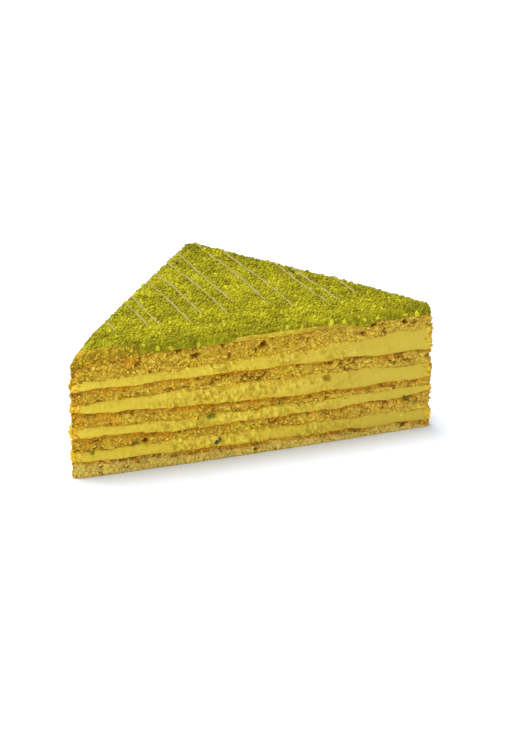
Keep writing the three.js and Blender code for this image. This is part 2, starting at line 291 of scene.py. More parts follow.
def rim_heights(name):
    """Heights of a node's lowest and highest points at its rim, for each of PLACES."""
    points = node_points(name)
    start, side = BASE.ring[:-1], np.diff(BASE.ring, axis=0)
    length2 = (side ** 2).sum(1)
    rel = points[:, None, :2] - start[None]
    share = clamp((rel * side).sum(2) / length2)
    away = np.hypot(*np.moveaxis(rel - share[..., None] * side, 2, 0))
    best = away.argmin(1)
    rows = np.arange(len(points))
    place = BASE.places[best] + share[rows, best] * np.sqrt(length2[best])
    near = away[rows, best] < RIM_DEPTH
    place, z = place[near], points[near, 2]
    samples = np.arange(0, ROUND, SAMPLE_SPACING)
    found = []
    for here in samples:
        gap = place_gap(place, here)
        nearby = z[gap < max(SAMPLE_REACH, np.sort(gap)[SAMPLE_POINTS - 1])]
        found.append((nearby.min(), nearby.max()))
    found = np.array(found + found[:1])
    samples = np.append(samples, ROUND)
    return [np.interp(PLACES, samples, found[:, k]) for k in range(2)]


def layer_faces():
    """Height of the face over each layer along PLACES, the floor first. A biscuit's browned top is smoother
    than its crumbly underside."""
    heights = [rim_heights(name) for name in LAYERS]
    faces = [0 * PLACES]
    for layer in range(CRUST):
        face = blurred((heights[layer][1] + heights[layer + 1][0]) / 2, 1.6)
        over_biscuit = LAYERS[layer].startswith("biscuit")
        slow = fractal_round(PLACES, 5.5, 900 + layer, 2)
        quick = fractal_round(PLACES, 1.5, 940 + layer, 3)
        torn = 0.4 + 0.5 * fade(fractal_round(PLACES, 14.0, 960 + layer, 2), -0.3, 0.4)
        rough = (0.16, 0.22) if over_biscuit else (0.2, torn)
        if layer >= TOP_COAT - 1:
            rough = (0.1, 0.1)
            face = face - dip(place_gap(PLACES, TIP_PLACE), *TIP_WEAR)
        faces.append(face + rough[0] * slow + rough[1] * quick)
    return faces


FACES = layer_faces()


def face_under(layer, place):
    return along(FACES[layer], place)


def face_over(layer, place):
    return along(FACES[layer + 1], place)


# ---- meshes ----

INWARD = (0.7, 1.8, 4.5)    # how far in a layer's flat faces have rings of points
SINK = 0.02                 # and how far those stay inside the layer


def make_object(name, points, faces, smooth=True, **attributes):
    """A mesh object from points in millimetres and a list of index arrays, one for each face size."""
    mesh = bpy.data.meshes.new(name)
    loops = np.concatenate([np.asarray(group, np.int32).ravel() for group in faces])
    sizes = np.concatenate([np.full(len(group), np.shape(group)[1], np.int32) for group in faces])
    starts = np.concatenate([[0], np.cumsum(sizes)[:-1]]).astype(np.int32)
    mesh.vertices.add(len(points))
    mesh.vertices.foreach_set("co", (np.asarray(points) * MM).astype(np.float32).ravel())
    mesh.loops.add(len(loops))
    mesh.loops.foreach_set("vertex_index", loops)
    mesh.polygons.add(len(sizes))
    mesh.polygons.foreach_set("loop_start", starts)
    mesh.polygons.foreach_set("loop_total", sizes)
    mesh.polygons.foreach_set("use_smooth", np.full(len(sizes), smooth))
    mesh.update(calc_edges=True)
    mesh.validate()
    for key, values in attributes.items():
        layer = mesh.attributes.new(key, "FLOAT", "POINT")
        layer.data.foreach_set("value", np.asarray(values, np.float32).ravel())
    made = bpy.data.objects.new(name, mesh)
    bpy.context.scene.collection.objects.link(made)
    return made


def ring_faces(counts):
    """Faces between rings of points, each with as many points as the one before it or half as many, and fans
    to a first and a last point."""
    quads, triangles = [], []
    low = 1
    for before, after in zip(counts[:-1], counts[1:]):
        high = low + before
        column = np.arange(after)
        following = (column + 1) % after
        if before == after:
            quads.append(np.stack([low + column, low + following, high + following, high + column], 1))
        else:
            even, odd = low + 2 * column, low + 2 * column + 1
            last = low + (2 * column + 2) % before
            triangles.append(np.stack([even, odd, high + column], 1))
            triangles.append(np.stack([odd, high + following, high + column], 1))
            triangles.append(np.stack([odd, last, high + following], 1))
        low = high
    column = np.arange(counts[0])
    triangles.append(np.stack([0 * column, 1 + (column + 1) % counts[0], 1 + column], 1))
    column = np.arange(counts[-1])
    end = low + counts[-1]
    triangles.append(np.stack([0 * column + end, low + column, low + (column + 1) % counts[-1]], 1))
    return [np.vstack(quads), np.vstack(triangles)]


def finish_piece(made, slot, material, *nodes):
    made.data.materials.append(material)
    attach(made, BODY)
    if nodes:
        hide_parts(*nodes)


def add_layer(layer, name, rows, relief, slot, material):
    """A closed layer: its wall with relief, and flat faces that run inwards under its neighbours."""
    low, high = FACES[layer], FACES[layer + 1]
    share = np.linspace(0, 1, rows)[:, None]
    z = low + (high - low) * share
    place = np.broadcast_to(PLACES, z.shape)
    out, attributes = relief(layer, place, z)
    wall = side_points(place, z, out)
    lift = SINK if layer else 0
    below = [side_points(PLACES, z[0] + lift, out[0] - depth)[None] for depth in INWARD[::-1]]
    above = [side_points(PLACES, z[-1] - SINK, out[-1] - depth)[None] for depth in INWARD]
    points = np.concatenate(below + [wall] + above).reshape(-1, 3)
    points = np.vstack([[*MIDDLE, float(low.mean())], points, [*MIDDLE, float(high.mean())]])
    spread = {}
    for key, values in attributes.items():
        inner = [values[:1]] * len(INWARD) + [values] + [values[-1:]] * len(INWARD)
        flat = np.concatenate(inner).ravel()
        spread[key] = np.concatenate([[flat[0]], flat, [flat[-1]]])
    made = make_object(name, points, ring_faces([COLUMNS] * (rows + 2 * len(INWARD))), **spread)
    finish_piece(made, slot, material, LAYERS[layer])


# ---- sides of the slice ----

# holes in the front face: distance from the sharp tip, height, radius and depth
HOLES = [(63.4, 35.9, 1.0, 1.6), (78.3, 35.6, 0.55, 1.0), (101.0, 37.2, 0.9, 1.3), (111.8, 36.7, 1.1, 1.5),
         (41.2, 35.0, 1.2, 1.2), (49.6, 37.4, 0.8, 0.9), (35.4, 37.2, 0.9, 1.0), (86.0, 26.4, 0.8, 0.9),
         (84.8, 21.9, 1.4, 1.3), (92.4, 26.6, 0.7, 0.8), (24.6, 9.6, 0.8, 1.0)]


HOLE_WIDTH = 1.25       # a hole is this many times as wide as high


def holes(place, z):
    """How deep the listed holes are at points of the sides."""
    deepest = 0 * z
    for x, height, radius, depth in HOLES:
        away = np.hypot(place_gap(place, front_place(x)) / HOLE_WIDTH, z - height)
        away = away + 0.3 * radius * value_noise(place, z, 0.9, 0.9, 77)
        deepest = np.maximum(deepest, depth * (1 - fade(away, 0.35 * radius, radius)))
    return deepest


def tip_recess(place, z):
    """How far the upright edge at the sharp tip is worn back, and the crust near it."""
    edge = corner_closeness(place, 3.0, (TIP_PLACE,)) * (0.2 + 0.75 * fade(z, 31.0, 36.5))
    return edge + TIP_SET_BACK * corner_closeness(place, 18.0, (TIP_PLACE,)) * fade(z, 34.5, 38.0)


def share_along_front(place):
    """0 at the tip and 1 at the right-hand corner; more than 1 on the other sides."""
    return np.mod(place - TIP_PLACE, ROUND) / (RIGHT_PLACE - TIP_PLACE)


def biscuit_relief(layer, place, z):
    """The crumb of a biscuit's cut side: how far points of it stand out, and their colours."""
    seed = 100 + 20 * layer
    at_floor, under_coat = layer == 0, layer == TOP_COAT - 1
    low, high = face_under(layer, place), face_over(layer, place)
    thickness = np.maximum(high - low, 0.5)
    share = clamp((z - low) / thickness)
    bent = place + 0.8 * value_noise(place, z, 1.7, 1.7, seed, ROUND)
    bent_z = z + 0.6 * value_noise(place, z, 1.7, 1.7, seed + 1, ROUND)
    broad = fractal(place, z, 6.0, 3.0, seed + 2, ROUND, 2)
    first, second, tint, level = cells(bent, bent_z * 1.2, 1.45, seed + 3, ROUND)
    lump = fade(second - first, 0.0, 0.5)
    first, second, small_tint, small_level = cells(bent, bent_z, 0.85, seed + 6, ROUND)
    small = fade(second - first, 0.0, 0.5)
    crumb = fractal(bent, bent_z, 1.0, 0.75, seed + 4, ROUND, 2)
    hollow = fade(fractal(bent, bent_z, 2.4, 1.5, seed + 5, ROUND, 2), 0.22, 0.6)
    deep = holes(place, z)
    out = 0.2 * broad + 0.3 * (lump - 0.6) + 0.4 * (level - 0.5)
    out = out + 0.2 * (small - 0.5) + 0.2 * (small_level - 0.5)
    out = out + 0.12 * crumb - 0.5 * hollow - deep
    out = out * (0.35 + 0.65 * fade(share * thickness, 0.0, 0.6))
    if at_floor:
        out = out + 0.1
    recess = 0.2 + 0.3 * hash01(np.array([layer]), seed=91)
    out = np.clip(out, -1.9, 0.5) - recess * corner_closeness(place, 3.0) - tip_recess(place, z)
    if at_floor:
        out = np.where(z < 0.05, np.minimum(out, 0.1), out)
    line = fractal(place, z, 1.6, 1.0, seed + 17, ROUND, 2)
    patch = noise_round(place, 7.5, seed + 18)
    crust_depth = 0.8 + 0.75 * line + 0.45 * patch
    crust = 1 - fade((1 - share) * thickness, crust_depth, crust_depth + 0.7)
    crust = crust * clamp(0.75 + 0.2 * patch + 0.5 * line)
    bottom_line = noise_round(place, 2.7, seed + 19)
    crust_low = (1 - fade(share * thickness, 0.1 + 0.14 * bottom_line, 0.5 + 0.2 * bottom_line)) * 0.3
    crust = np.maximum(crust, crust_low)
    if under_coat:
        crust = crust * 0.35
    golden_and_rim_glow = fractal(place, z, 6.0, 3.0, seed + 21, ROUND, 3) + 0.9 * (share - 0.55)
    golden_and_rim_glow = golden_and_rim_glow + 0.3 * corner_closeness(place, 45.0, (TIP_PLACE,)) - 0.12
    if under_coat:
        golden_and_rim_glow = golden_and_rim_glow - 0.5 * share
    # Near the upright corners the crumb turns orange all over: a painted rim glow, where light from behind
    # catches the edge; elsewhere these are orange patches in the crumb.
    golden_and_rim_glow = np.maximum(fade(golden_and_rim_glow, 0.0, 0.5), corner_closeness(place + 2.0 * broad, 5.0))
    warm = golden_and_rim_glow * clamp(1.5 * tint - 0.3)
    fresh = fade(fractal(place, z, 2.2, 1.6, seed + 31, ROUND, 2), 0.3, 0.6) * 0.7 * (small_tint > 0.4)
    # Painted shade: darker in the pores, in the gaps between the lumps, in the hollows, in the holes and
    # wherever the side is set back.
    cavity = 0.5 * (1 - lump) + 0.3 * (1 - small) + 0.45 * hollow - 0.25 + deep * 1.2
    cavity = clamp(cavity + 0.5 * fade(-out, 0.15, 0.8))
    tone = 0.5 + 0.5 * (tint - 0.5) + 0.4 * (small_tint - 0.5) + 0.25 * crumb + 0.16 * broad
    # The bottom biscuit is painted paler all over, painted light that makes up for the shade it gets next to
    # the floor; the others grow a little paler towards the right-hand corner and on the other sides.
    pale = 1.0 if at_floor else 0.15 + 0.25 * fade(share_along_front(place), 0.5, 1.0)
    return out, {"tone": clamp(tone), "crust": clamp(crust), "cavity": cavity,
                 "warm": clamp(warm * (1 - 0.7 * pale)), "fresh": fresh, "pale": pale + 0 * z}


def knife_zone(place, seed):
    """1 where the knife has dragged the cream into fine upright marks, 0 where it's smooth."""
    share = share_along_front(place)
    on_front = fade(share, 0.14, 0.3) * (1 - fade(share, 0.68, 0.84))
    elsewhere = fade(noise_round(place, 26.0, seed), -0.35, 0.25)
    return np.where(share < 1, on_front, elsewhere * (1 - corner_closeness(place, 14)))


def cream_seed(layer):
    return 500 + 20 * layer


def cream_relief(layer, place, z):
    """A cream's cut side: how far points of it stand out, and their colours."""
    seed = cream_seed(layer)
    low, high = face_under(layer, place), face_over(layer, place)
    share = clamp((z - low) / np.maximum(high - low, 0.5))
    zone = knife_zone(place, seed)
    slanted = place + 0.18 * z + 0.25 * value_noise(place, z, 3.0, 2.0, seed + 9, ROUND)
    marks = value_noise(slanted, z, 0.55, 1.5, seed + 1, ROUND)
    mottle = fractal(place, z, 1.4, 1.1, seed + 3, ROUND, 3)
    first, second, tint, level = cells(place + 0.3 * z, z, 1.15, seed + 6, ROUND)
    grains = fade(second - first, 0.0, 0.5)
    broad = fractal(place, z, 11.0, 5.0, seed + 4, ROUND, 2)
    patchy = 0.25 + 0.75 * fade(value_noise(place, z, 7.0, 3.0, seed + 5, ROUND), -0.5, 0.3)
    swell = 0.24 * (1 - (2 * share - 1) ** 2)
    lump_away, _, chosen, _ = cells(place, z, 1.5, seed + 8, ROUND)
    edge = np.maximum(fade(share, 0.72, 1.0), 1 - fade(share, 0.0, 0.3))
    lump = (chosen < 0.08 + 0.3 * zone * edge) * (1 - fade(lump_away, 0.12, 0.34))
    rough = zone * patchy * (0.2 * marks + 0.3 * mottle + 0.14 * (grains - 0.6) + 0.25 * (level - 0.5))
    deep = holes(place, z)
    out = 0.08 + swell + 0.1 * broad + rough * (0.35 + 0.65 * fade((1 - share) * (high - low), 0.0, 0.6))
    out = out + 0.16 * lump - deep
    out = np.clip(out, -1.4, 0.6) - tip_recess(place, z)
    grain = 0.4 * marks + 0.7 * mottle + 0.6 * (tint - 0.55) + 0.2 * (grains - 0.75)
    tone = 0.5 + 0.2 * broad + zone * patchy * grain + (0.12 * mottle + 0.1 * marks) * (1 - zone)
    bits = (tint < 0.22) * fade(grains, 0.2, 0.7) * (0.25 + 0.75 * edge)
    stain = edge * (0.35 + 0.8 * mottle) * (0.3 + 0.7 * zone) + 0.7 * lump + zone * patchy * bits
    corner = corner_closeness(place + 1.2 * mottle, 4.6)
    out = out + 0.4 * corner * (level - 0.6) - 0.3 * corner * hash01(np.array([layer]), seed=92)
    tone = tone + 0.9 * corner * (tint - 0.5)
    front = share_along_front(place)
    dull = np.where(front < 1, fade(front, 0.45, 0.8), 0.3) * (1 - corner)
    # Painted shade darkens the holes, and the warm tint is a painted rim glow at the upright corners.
    return out, {"tone": clamp(tone), "cavity": np.clip(deep, 0, 0.6), "dull": dull,
                 "stain": clamp(stain), "warm": 0.8 * corner * clamp(1.5 * level - 0.3)}


# the stretch of the front face where the coat shows as a yellow band, measured from the sharp tip
COAT_BAND = (53.0, 91.0)


def coat_shown(place):
    """1 where the coat under the crust is bare, 0 where the crust hangs over it."""
    first, last = (front_place(x) for x in COAT_BAND)
    on_front = fade(place, first - 3, first + 3) * (1 - fade(place, last - 3, last + 3))
    elsewhere = fade(noise_round(place, 19.0, 861), 0.1, 0.4) * (place > RIGHT_PLACE)
    return np.maximum(on_front, elsewhere)


def coat_relief(_, place, z):
    """The coat's edge: how far points of it stand out, and their colours."""
    shown = coat_shown(place)
    drip = noise_round(place, 4.0, 871)
    out = -0.25 + 0.3 * shown + 0.1 * fractal(place, z, 1.8, 1.2, 872, ROUND, 3) + 0.1 * drip
    out = out - tip_recess(place, z)
    _, _, tint, level = cells(place, z, 1.2, 875, ROUND)
    tone = 0.36 + 0.34 * fractal(place, z, 2.6, 1.4, 873, ROUND, 3) + 0.5 * (tint - 0.5)
    stain = clamp(0.15 + 0.6 * fractal(place, z, 3.0, 1.0, 874, ROUND, 2) + 0.5 * (level - 0.5))
    # Browner patches, more of them towards the right of the band, go into the attribute that holds painted
    # shade in the other layers.
    brown = 0.6 * fade(fractal(place, z, 2.6, 1.0, 876, ROUND, 2) + 0.7 * fade(place, 68.0, 84.0), 0.05, 0.7)
    return out + 0.4 * (level - 0.5), {"tone": tone + 0.1, "cavity": brown, "stain": stain}


# ---- materials ----


class Surface:
    """A node material in the making. Sockets are fed with another node's output or with a constant."""

    def __init__(self, name):
        self.material = bpy.data.materials.new(name)
        self.material.use_nodes = True
        self.tree = self.material.node_tree

    def feed(self, node, inputs):
        for key, value in inputs.items():
            if isinstance(value, bpy.types.NodeSocket):
                self.tree.links.new(value, node.inputs[key])
            else:
                node.inputs[key].default_value = value
        return node

    def node(self, kind, inputs, **settings):
        made = self.tree.nodes.new("ShaderNode" + kind)
        for key, value in settings.items():
            setattr(made, key, value)
        return self.feed(made, inputs)

    def attribute(self, name):
        return self.node("Attribute", {}, attribute_name=name).outputs["Fac"]

    def noise(self, size, detail=3.0):
        """Noise in the object's own space, with features of about `size` millimetres."""
        where = self.node("TexCoord", {}).outputs["Object"]
        inputs = {"Vector": where, "Scale": 1 / (size * MM), "Detail": detail, "Roughness": 0.6}
        return self.node("TexNoise", inputs).outputs["Fac"]

    def scaled(self, value, factor, offset=0.0):
        return self.node("Math", {0: value, 1: factor, 2: offset}, operation="MULTIPLY_ADD").outputs[0]

    def shifted_tone(self, size, amount):
        """The mesh's own tone, moved up and down by fine noise, and that noise."""
        fine = self.noise(size)
        terms = {0: self.attribute("tone"), 1: self.scaled(fine, amount, -amount / 2)}
        return self.node("Math", terms, operation="ADD", use_clamp=True).outputs[0], fine

    def ramp(self, factor, *stops):
        """A colour ramp through stops of a position and a colour."""
        made = self.node("ValToRGB", {"Fac": factor})
        elements = made.color_ramp.elements
        elements[0].position, elements[1].position = stops[0][0], stops[-1][0]
        for place, _ in stops[1:-1]:
            elements.new(place)
        for element, (_, colour) in zip(elements, stops):
            element.color = (*colour, 1)
        return made.outputs["Color"]

    def tinted(self, colour, **tints):
        """A colour turned into others as far as attributes of the mesh say, or as a share of that, which a
        tint has as its fourth number."""
        for attribute, tint in tints.items():
            factor = self.attribute(attribute)
            if isinstance(tint, tuple):
                if len(tint) > 3:
                    factor = self.scaled(factor, tint[3])
                tint = (*tint[:3], 1)
            made = self.node("Mix", {}, data_type="RGBA", clamp_factor=True)
            colour = self.feed(made, {0: factor, 6: colour, 7: tint}).outputs[2]
        return colour

    def finished(self, colour, roughness, specular, height=None, distance=0.0, strength=0.0, **more):
        """The material, with fine relief of `distance` millimetres that follows `height`."""
        inputs = {"Base Color": colour, "Roughness": roughness, "Specular IOR Level": specular, **more}
        if height is not None:
            relief = {"Height": height, "Distance": distance * MM, "Strength": strength}
            inputs["Normal"] = self.node("Bump", relief).outputs["Normal"]
        self.feed(self.tree.nodes["Principled BSDF"], inputs)
        return self.material


def biscuit_material():
    surface = Surface("biscuit crumb")
    tone, fine = surface.shifted_tone(0.6, 0.6)
    crumb = surface.ramp(tone, (0.0, (0.34, 0.175, 0.006)), (0.3, (0.50, 0.29, 0.010)),
                         (0.6, (0.69, 0.44, 0.022)), (1.0, (0.92, 0.67, 0.075)))
    patches = surface.noise(2.6, detail=1.0)
    baked = surface.ramp(patches, (0.35, (0.28, 0.125, 0.007)), (0.62, (0.62, 0.27, 0.006)))
    # The last tint darkens pores, hollows and holes as painted shade; the warm tint holds a painted rim glow
    # at the upright corners besides orange crumb.
    body = surface.tinted(crumb, fresh=(0.66, 0.55, 0.010), warm=(0.72, 0.34, 0.006),
                          pale=(0.86, 0.69, 0.17, 0.6), crust=baked, cavity=(0.24, 0.105, 0.004))
    return surface.finished(body, 0.8, 0.1, fine, 0.2, 0.8)


def cream_material():
    surface = Surface("butter cream")
    tone, fine = surface.shifted_tone(0.8, 0.12)
    cream = surface.ramp(tone, (0.0, (0.46, 0.315, 0.012)), (0.5, (0.70, 0.515, 0.040)),
                         (1.0, (0.86, 0.67, 0.075)))
    # The warm tint is a painted rim glow at the upright corners, and the last tint darkens the holes as
    # painted shade.
    body = surface.tinted(cream, dull=(0.555, 0.41, 0.046, 0.6), stain=(0.66, 0.42, 0.012),
                          warm=(0.80, 0.47, 0.010), cavity=(0.33, 0.20, 0.008))
    glow = {"Subsurface Weight": 0.1, "Subsurface Radius": (1.0, 0.7, 0.15), "Subsurface Scale": 1.0 * MM}
    return surface.finished(body, 0.55, 0.15, fine, 0.05, 0.6, **glow)


def pistachio_material():
    surface = Surface("ground pistachio")
    tone, fine = surface.shifted_tone(0.5, 0.3)
    nut = surface.ramp(tone, (0.0, (0.16, 0.135, 0.003)), (0.35, (0.30, 0.27, 0.004)),
                       (0.7, (0.46, 0.425, 0.007)), (1.0, (0.71, 0.64, 0.035)))
    rubbed = surface.ramp(tone, (0.15, (0.26, 0.15, 0.006)), (0.75, (0.78, 0.54, 0.022)))
    body = surface.tinted(nut, worn=rubbed, green=(0.16, 0.21, 0.010), dark=(0.05, 0.055, 0.035))
    return surface.finished(body, 0.65, 0.12, fine, 0.12, 0.8)


def drizzle_material():
    surface = Surface("drizzle")
    fine = surface.noise(1.0)
    body = surface.ramp(fine, (0.3, (0.28, 0.235, 0.04)), (0.7, (0.42, 0.355, 0.09)))
    return surface.finished(body, 0.5, 0.2, fine, 0.1, 0.7)


def floor_material():
    surface = Surface("white table")
    body = surface.ramp(surface.noise(9.0), (0.0, (0.85, 0.895, 0.98)), (1.0, (0.87, 0.915, 0.99)))
    return surface.finished(body, 0.9, 0.1)


BISCUIT = biscuit_material()
CREAM = cream_material()
PISTACHIO = pistachio_material()
DRIZZLE = drizzle_material()

# ---- layers ----

BISCUIT_ROW, CREAM_ROW = 0.24, 0.3       # distance between the rows of points on the sides
COAT_ROWS = 7
BISCUITS = [layer for layer, name in enumerate(LAYERS) if name.startswith("biscuit")]
FILLINGS = [layer for layer, name in enumerate(LAYERS) if name.startswith("cream")]


def rows_for(layer, height):
    """Rows of points up a layer's side, about `height` apart."""
    return int((FACES[layer + 1] - FACES[layer]).mean() / height) + 2


for layer in BISCUITS:
    name = LAYERS[layer].replace("_", "_crumb_")
    add_layer(layer, name, rows_for(layer, BISCUIT_ROW), biscuit_relief, "biscuit", BISCUIT)
for layer in FILLINGS:
    name = LAYERS[layer].replace("_", "_filling_")
    add_layer(layer, name, rows_for(layer, CREAM_ROW), cream_relief, "cream", CREAM)
add_layer(TOP_COAT, "top_coat", COAT_ROWS, coat_relief, "cream", CREAM)

# ---- small lumps ----

GOLDEN = (1 + 5 ** 0.5) / 2
RECTANGLE = np.array([(-1, GOLDEN, 0), (1, GOLDEN, 0), (-1, -GOLDEN, 0), (1, -GOLDEN, 0)], float)
ICO_POINTS = np.vstack([np.roll(RECTANGLE, turn, 1) for turn in range(3)])
ICO_POINTS /= np.linalg.norm(ICO_POINTS[0])
ICO_FACES = np.array([(0, 11, 5), (0, 5, 1), (0, 1, 7), (0, 7, 10), (0, 10, 11),
                      (1, 5, 9), (5, 11, 4), (11, 10, 2), (10, 7, 6), (7, 1, 8),
                      (3, 9, 4), (3, 4, 2), (3, 2, 6), (3, 6, 8), (3, 8, 9),
                      (4, 9, 5), (2, 4, 11), (6, 2, 10), (8, 6, 7), (9, 8, 1)])
CORNERS = len(ICO_POINTS)
STRETCH = (0.7, 1.3)    # a lump is this many times as long along each of its axes


def joined(kinds):
    """One dictionary of arrays from several with the same keys."""
    return {key: np.concatenate([kind[key] for kind in kinds]) for key in kinds[0]}


def scatter(name, seed, slot, material, centres, radii, roughness=0.24, smooth=True, **attributes):
    """One joined mesh of small lumps, each an icosahedron pulled out of shape and turned its own way."""
    rng = np.random.default_rng(seed)
    count = len(centres)
    lumps = ICO_POINTS[None] * (1 + rng.uniform(-roughness, roughness, (count, CORNERS, 1)))
    lumps = lumps * rng.uniform(*STRETCH, (count, 1, 3))
    turns = rng.normal(size=(count, 4))
    turns /= np.linalg.norm(turns, axis=1)[:, None]
    w, x, y, z = turns.T
    spin = np.stack([1 - 2 * (y * y + z * z), 2 * (x * y - z * w), 2 * (x * z + y * w),
                     2 * (x * y + z * w), 1 - 2 * (x * x + z * z), 2 * (y * z - x * w),
                     2 * (x * z - y * w), 2 * (y * z + x * w), 1 - 2 * (x * x + y * y)], 1)
    lumps = np.einsum("nij,nkj->nki", spin.reshape(-1, 3, 3), lumps) * np.asarray(radii)[:, None, None]
    points = (lumps + np.asarray(centres)[:, None, :]).reshape(-1, 3)
    points[:, 2] = np.maximum(points[:, 2], 0)
    faces = (ICO_FACES[None] + CORNERS * np.arange(count)[:, None, None]).reshape(-1, 3)
    spread = {key: np.repeat(values, CORNERS) for key, values in attributes.items()}
    finish_piece(make_object(name, points, [faces], smooth=smooth, **spread), slot, material)


CRUMB_SPACING = 0.9
FROM_LOWER, FROM_UPPER = 0.15, 0.12      # crumbs stay this far inside a layer's lower and upper faces
CRUMBS_SHOWN = 0.85     # this share of a biscuit's places outside its pores has a crumb


def face_grid(layer, spacing, rng):
    """Loosely even places and heights all over a layer's side."""
    low, high = FACES[layer], FACES[layer + 1]
    columns = int(ROUND / spacing)
    rows = int(high.max() / spacing) + 1
    column, row = np.meshgrid(np.arange(columns), np.arange(rows))
    place = ((column + rng.uniform(-0.4, 0.4, column.shape)) * spacing).ravel()
    z = ((row + 0.5 * (column % 2) + rng.uniform(-0.4, 0.4, row.shape)) * spacing).ravel()
    keep = (z > along(low, place) + FROM_LOWER) & (z < along(high, place) - FROM_UPPER)
    return place[keep], z[keep]


def biscuit_crumbs():
    """Crumbs that stand half out of the biscuits' cut sides."""
    rng = np.random.default_rng(31)
    kinds = []
    for layer in BISCUITS:
        place, z = face_grid(layer, CRUMB_SPACING, rng)
        out, extra = biscuit_relief(layer, place, z)
        keep = (extra["cavity"] < 0.75) & (rng.random(len(z)) < CRUMBS_SHOWN)
        place, z, out = place[keep], z[keep], out[keep]
        radii = 0.2 + 0.32 * rng.random(len(z)) ** 2
        tone = clamp(0.6 + 0.26 * rng.standard_normal(len(z)) - 0.2 * extra["crust"][keep])
        corner = corner_closeness(place, 4.0)
        # Crumbs near the upright corners turn orange more often: part of the painted rim glow.
        warm = extra["warm"][keep] + 0.7 * (rng.random(len(z)) < 0.05 + 0.3 * corner) * rng.random(len(z))
        fresh = extra["fresh"][keep] + (rng.random(len(z)) < 0.08) * 0.8
        centres = side_points(place, z, out - 0.05 * radii)
        kinds.append(dict(centres=centres, radii=radii, tone=tone, warm=clamp(warm), fresh=clamp(fresh),
                          crust=0.6 * extra["crust"][keep], pale=extra["pale"][keep]))
    return joined(kinds)


scatter("biscuit_loose_crumb", 32, "biscuit", BISCUIT, roughness=0.3, smooth=False, **biscuit_crumbs())


def stray_crumbs():
    """Crumbs that the knife has dragged over the creams, and those that cling to the upright corners."""
    rng = np.random.default_rng(51)
    kinds = []
    for layer in FILLINGS:
        place, z = face_grid(layer, CRUMB_SPACING, rng)
        low, high = face_under(layer, place), face_over(layer, place)
        edge = np.minimum(z - low, high - z)
        corner = corner_closeness(place, 6.0)
        zone = knife_zone(place, cream_seed(layer))
        above = 1 - fade(high - z, 0.2, 1.6)
        chance = 0.008 + 0.09 * zone + 0.5 * zone * (1 - fade(edge, 0.2, 1.1))
        chance = chance + (0.06 + 0.75 * zone) * above + corner
        keep = rng.random(len(z)) < chance
        place, z, corner, above = place[keep], z[keep], corner[keep], above[keep]
        out, _ = cream_relief(layer, place, z)
        radii = (0.18 + 0.24 * rng.random(len(z)) ** 1.5) * (1 + 0.7 * corner + 0.4 * above)
        out = out - (0.4 - 0.15 * corner) * radii
        tone = clamp(0.6 + 0.28 * rng.standard_normal(len(z)))
        # Crumbs at the upright corners get a painted rim glow.
        warm = 0.3 * rng.random(len(z)) * corner
        pale = (1 - corner) * (1 - 0.7 * above) * 0.9 * rng.random(len(z))
        kinds.append(dict(centres=side_points(place, z, out), radii=radii, tone=tone, warm=warm, pale=pale))
    return joined(kinds)


scatter("biscuit_stray_crumb", 52, "biscuit", BISCUIT, roughness=0.4, smooth=False, **stray_crumbs())

# ---- pistachio crust ----

LIP = 0.6               # rounding of the crust's upper edge, inwards
OVERHANG = 0.2          # how far its side stands out of the slice's plain side
RING_STEP = 0.38        # distance between the rings of points on its top
LIP_RINGS = 6           # rings round its edge,
UNDER_RINGS = 3         # and under it
FEWEST_POINTS = 60      # a ring with fewer points isn't halved
EDGE_SKIP = 6           # inside_distance takes every sixth point of the edge
FRONT_Y = TOP_PLAN[:, 1].min()


def inside_distance(x, y):
    """How far plan points lie inside the crust's edge."""
    best = np.full(np.shape(x), np.inf)
    for here, out in zip(TOP_PLAN[::EDGE_SKIP], TOP_OUT[::EDGE_SKIP]):
        best = np.minimum(best, (here[0] - x) * out[0] + (here[1] - y) * out[1])
    return best


HALF_SIZE = (60, 50)    # the top's surface is a polynomial in plan distances divided by these,
TERMS = 6               # with this many powers of each


def fit_top():
    """A smooth surface through the points of the CAD crust's top, apart from its fall at the tip."""
    x, y, z = node_points("topping").T
    z = z + dip(from_sharp_tip(x, y), *TIP_FALL)
    keep = (inside_distance(x, y) > 1.5) & (z > FULL_HEIGHT - 0.8)
    x, y, z = x[keep], y[keep], z[keep]

    def terms(px, py):
        u, v = px / HALF_SIZE[0], py / HALF_SIZE[1]
        return np.stack([u ** i * v ** j for i in range(TERMS) for j in range(TERMS - i)], -1)
    solution, *_ = np.linalg.lstsq(terms(x, y), z, rcond=None)

    def height(px, py):
        away = from_sharp_tip(px, py)
        return terms(px, py) @ solution - dip(away, *TIP_FALL) - dip(away, *TIP_WEAR)
    return height


top_height = fit_top()


def broad_patches(x, y):
    return fractal(x, y, 5.0, 5.0, 1221)


def crust_relief(x, y):
    """Fine granular relief of the crust, with its tone, which holds painted shade between the granules, and
    how worn it is, at plan points.
    """
    first, second, tint, level = cells(x, y, 1.3, 1201)
    grain = np.clip(second - first, 0, 0.5) / 0.5
    first, second, small_tint, _ = cells(x, y, 0.7, 1211)
    small = np.clip(second - first, 0, 0.4) / 0.4
    broad = broad_patches(x, y)
    rise = 0.22 * (grain - 0.5) + 0.28 * (level - 0.5) + 0.1 * (small - 0.5) + 0.14 * broad
    # Painted shade: the tone is darker at the edges of the granule cells, where the relief dips between them.
    tone = 0.40 + 0.3 * (tint - 0.5) + 0.2 * (small_tint - 0.5) + 0.24 * (grain - 0.5) + 0.3 * broad
    return rise, shaded(tone, x, y), worn_share(x, y)


def shaded(tone, x, y):
    """The crust's tone, darker along the third side and at the front edge."""
    return tone - 0.12 * third_side_shade(x, y) - 0.16 * lip_shade(x, y)


